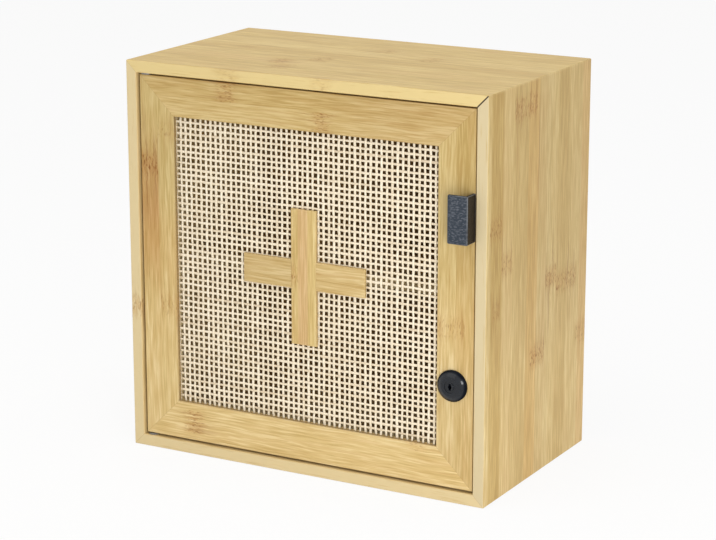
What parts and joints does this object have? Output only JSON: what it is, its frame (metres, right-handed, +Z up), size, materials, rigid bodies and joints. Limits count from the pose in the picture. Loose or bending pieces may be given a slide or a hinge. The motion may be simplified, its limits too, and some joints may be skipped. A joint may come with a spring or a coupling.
{
  "type": "medicine cabinet",
  "caption": "Square bamboo medicine cabinet with an inset door of woven cane and a bamboo cross, an angle handle, a key lock and a shelf inside.",
  "frame": {"origin": "middle of the underside of the carcass, without the handle's projection", "axes": "+Z up, -Y towards the door, +X towards the lock side"},
  "size_m": [0.32, 0.196, 0.32],
  "materials": {
    "bamboo": "clear satin lacquer",
    "cane": "natural woven cane",
    "handle_coat": "black textured powder coat",
    "lock_coat": "glossy black",
    "steel": "zinc plated",
    "catch_plastic": "moulded matt",
    "magnet": "sintered ferrite"
  },
  "bodies": {
    "carcass": {"top_panel": "bamboo", "bottom_panel": "bamboo", "left_side_panel": "bamboo", "right_side_panel": "bamboo", "corner_splines": "bamboo", "back_panel": "bamboo", "back_panel_brads": "steel", "hanging_rail": "bamboo", "shelf": "bamboo", "shelf_pins": "steel", "upper_pivot_bush": "steel", "lower_pivot_bush": "steel", "lock_strike": "steel", "strike_screws": "steel", "catch_case": "catch_plastic", "catch_magnet": "magnet", "catch_poles": "steel", "catch_screws": "steel"},
    "door": {"hinge_stile": "bamboo", "lock_stile": "bamboo", "top_rail": "bamboo", "bottom_rail": "bamboo", "door_corner_splines": "bamboo", "cane_panel": "cane", "lower_cane_bead": "bamboo", "lock_side_cane_bead": "bamboo", "upper_cane_bead": "bamboo", "hinge_side_cane_bead": "bamboo", "cross_upright": "bamboo", "cross_bar": "bamboo", "upper_pivot_pin": "steel", "lower_pivot_pin": "steel", "handle": "handle_coat", "handle_screws": "steel", "catch_plate": "steel", "catch_plate_screw": "steel", "lock_housing": "lock_coat", "lock_nut": "steel"},
    "lock": {"lock_plug": "lock_coat", "lock_cam": "steel", "cam_screw": "steel"}
  },
  "joints": [
    {"name": "door_hinge", "type": "hinge", "parent": "carcass", "child": "door", "pos_m": [-0.144, -0.08633, 0.16], "axis": [0, 0, -1], "range_deg": [0, 105]},
    {"name": "lock_turn", "type": "hinge", "parent": "door", "child": "lock", "pos_m": [0.13151, -0.09, 0.0935], "axis": [0, -1, 0], "range_deg": [0, 90]}
  ]
}
